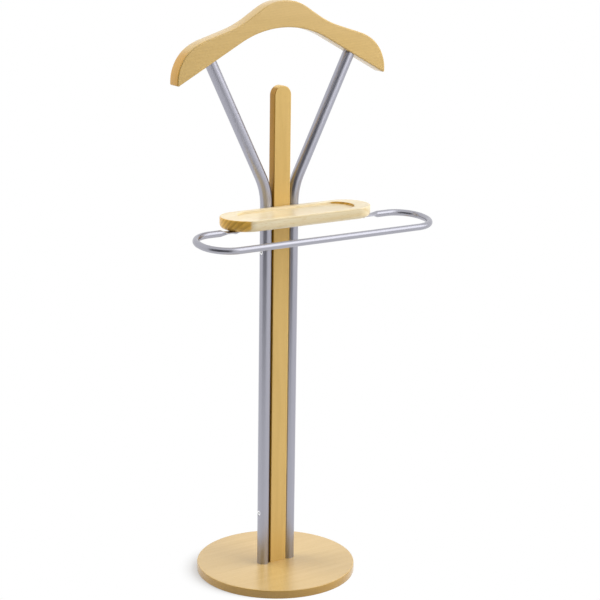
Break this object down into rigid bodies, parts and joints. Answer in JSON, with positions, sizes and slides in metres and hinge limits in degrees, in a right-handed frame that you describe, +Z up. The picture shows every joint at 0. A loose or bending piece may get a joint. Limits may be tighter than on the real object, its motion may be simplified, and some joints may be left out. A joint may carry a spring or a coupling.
{
  "type": "clothes valet stand",
  "caption": "Clothes valet stand: a wooden hanger board on two bent satin steel tubes beside a wooden slat, with a small tray, a trouser bar and a round wooden base.",
  "frame": {"origin": "on the floor under the middle of the round base, at the middle of the felt disc's underside", "axes": "+Z up, from the floor to the hanger board; +X to the stand's right as seen from its front, along the hanger board; +Y from front to back, away from the tray and the trouser bar"},
  "size_m": [0.488, 0.3268, 1.081],
  "materials": {
    "base_wood": "satin clear lacquer on beech, fine even grain",
    "frame_wood": "satin clear lacquer on beech, warm honey tone",
    "tray_wood": "satin clear lacquer on pale beech with streaked grain",
    "satin_tube": "satin silver plating",
    "satin_chrome": "satin chrome",
    "bright_zinc": "bright zinc plating",
    "zinc": "dull zinc plating",
    "plug_plastic": "matt black",
    "felt": "pressed wool felt"
  },
  "bodies": {
    "root": {"base_plate": "base_wood", "centre_felt": "felt", "rim_felts": "felt", "left_tube": "satin_tube", "right_tube": "satin_tube", "left_foot_insert": "zinc", "right_foot_insert": "zinc", "base_bolts": "zinc", "base_washers": "zinc", "centre_slat": "frame_wood", "slat_screws": "zinc", "column_bolts": "bright_zinc", "sleeve_nuts": "bright_zinc", "hanger_board": "frame_wood", "left_hanger_plug": "plug_plastic", "right_hanger_plug": "plug_plastic", "hanger_screws": "zinc", "tray": "tray_wood", "tray_screws": "zinc", "trouser_bar": "satin_chrome", "bar_screws": "zinc"}
  },
  "joints": []
}
